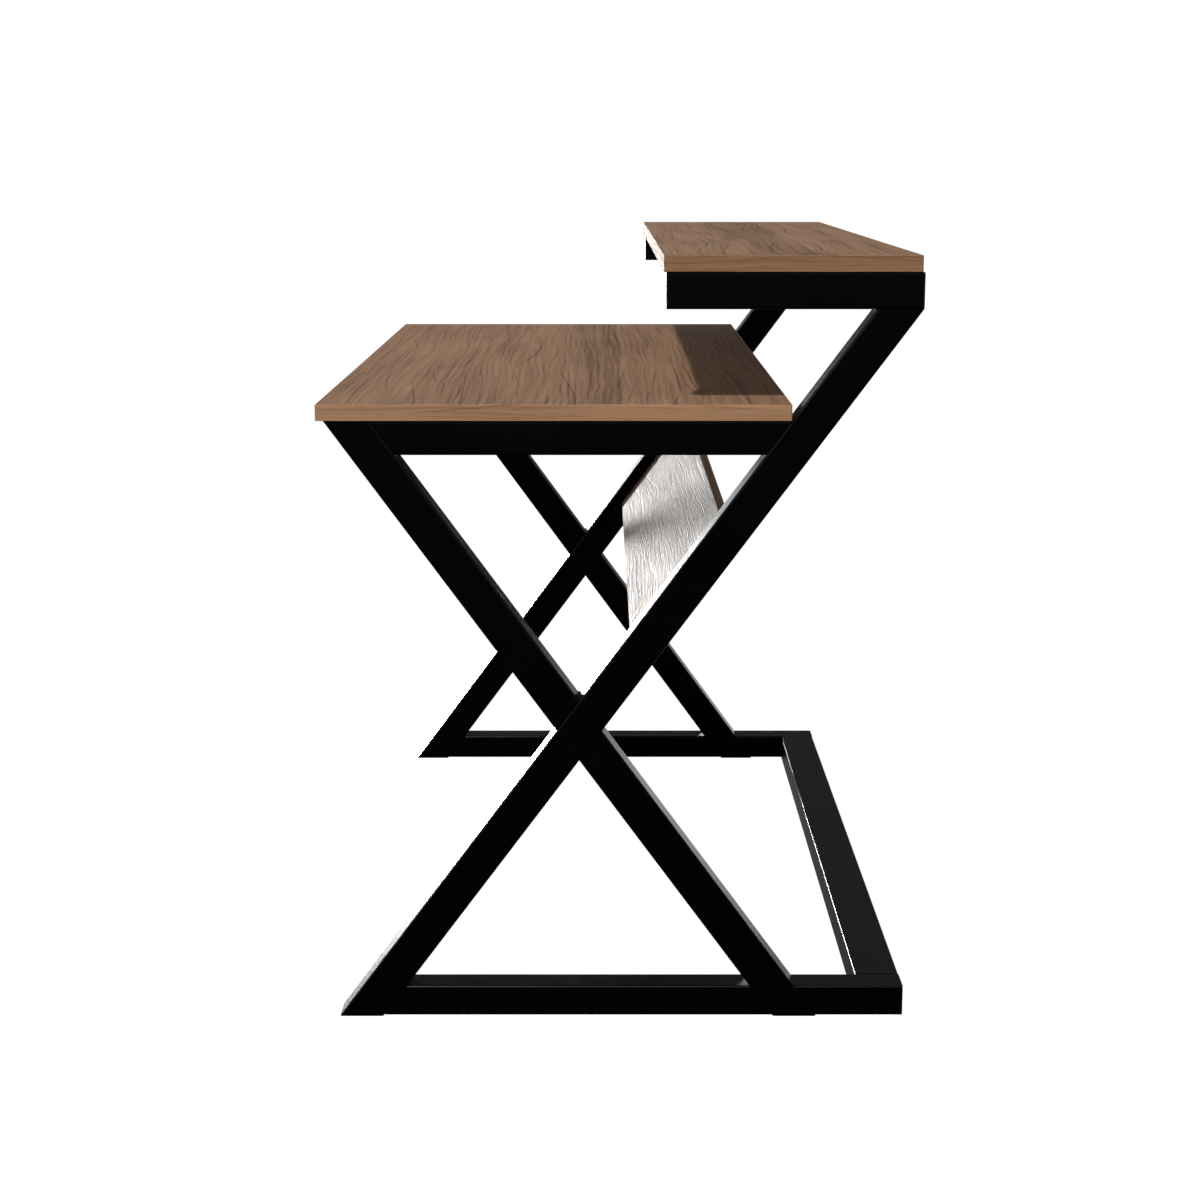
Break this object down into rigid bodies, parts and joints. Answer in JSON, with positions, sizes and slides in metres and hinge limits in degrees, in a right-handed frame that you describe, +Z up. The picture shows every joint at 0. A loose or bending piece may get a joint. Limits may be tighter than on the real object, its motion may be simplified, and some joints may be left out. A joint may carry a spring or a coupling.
{
  "type": "two-level computer desk",
  "caption": "Desk with a raised rear shelf as long as its top, on two crossed black steel tube side frames joined by a slanted wooden panel and a floor rail.",
  "frame": {"origin": "on the floor, at the middle of the whole desk's footprint box", "axes": "+Z up, X along the desk's length, the user sits at -Y, the shelf is at +Y"},
  "size_m": [1.2, 0.699, 0.918],
  "materials": {
    "walnut_laminate": "satin walnut laminate, grain along the desk's length",
    "walnut_edge_band": "satin walnut edge banding, slightly warmer than the faces",
    "black_paint": "smooth satin-gloss black powder coat",
    "black_plastic": "moulded black plastic",
    "black_steel_fixing": "black oxide screws and sleeves",
    "zinc_fixing": "zinc plated cam bolts and locks"
  },
  "bodies": {
    "root": {"desktop_board": "walnut_laminate", "desktop_front_edge_band": "walnut_edge_band", "desktop_left_edge_band": "walnut_edge_band", "desktop_rear_edge_band": "walnut_edge_band", "desktop_right_edge_band": "walnut_edge_band", "floor_cross_rail": "black_paint", "left_cross_rail_screw": "black_steel_fixing", "left_cross_rail_spigot": "black_steel_fixing", "left_crossing_weld": "black_paint", "left_desktop_rail": "black_paint", "left_desktop_rail_bolt_1": "black_steel_fixing", "left_desktop_rail_bolt_2": "black_steel_fixing", "left_floor_rail": "black_paint", "left_floor_rail_cap": "black_plastic", "left_floor_rail_rear": "black_paint", "left_front_glide": "black_plastic", "left_long_diagonal": "black_paint", "left_panel_lower_cam_bolt": "zinc_fixing", "left_panel_lower_cam_lock": "zinc_fixing", "left_panel_upper_cam_bolt": "zinc_fixing", "left_panel_upper_cam_lock": "zinc_fixing", "left_rear_glide": "black_plastic", "left_shelf_rail": "black_paint", "left_shelf_rail_bolt_1": "black_steel_fixing", "left_shelf_rail_bolt_2": "black_steel_fixing", "left_shelf_rail_front_cap": "black_plastic", "left_shelf_rail_rear_cap": "black_plastic", "left_short_diagonal_lower": "black_paint", "left_short_diagonal_upper": "black_paint", "panel_board": "walnut_laminate", "panel_bottom_edge_band": "walnut_edge_band", "panel_top_edge_band": "walnut_edge_band", "right_cross_rail_screw": "black_steel_fixing", "right_cross_rail_spigot": "black_steel_fixing", "right_crossing_weld": "black_paint", "right_desktop_rail": "black_paint", "right_desktop_rail_bolt_1": "black_steel_fixing", "right_desktop_rail_bolt_2": "black_steel_fixing", "right_floor_rail": "black_paint", "right_floor_rail_cap": "black_plastic", "right_floor_rail_rear": "black_paint", "right_front_glide": "black_plastic", "right_long_diagonal": "black_paint", "right_panel_lower_cam_bolt": "zinc_fixing", "right_panel_lower_cam_lock": "zinc_fixing", "right_panel_upper_cam_bolt": "zinc_fixing", "right_panel_upper_cam_lock": "zinc_fixing", "right_rear_glide": "black_plastic", "right_shelf_rail": "black_paint", "right_shelf_rail_bolt_1": "black_steel_fixing", "right_shelf_rail_bolt_2": "black_steel_fixing", "right_shelf_rail_front_cap": "black_plastic", "right_shelf_rail_rear_cap": "black_plastic", "right_short_diagonal_lower": "black_paint", "right_short_diagonal_upper": "black_paint", "shelf_board": "walnut_laminate", "shelf_front_edge_band": "walnut_edge_band", "shelf_left_edge_band": "walnut_edge_band", "shelf_rear_edge_band": "walnut_edge_band", "shelf_right_edge_band": "walnut_edge_band"}
  },
  "joints": []
}
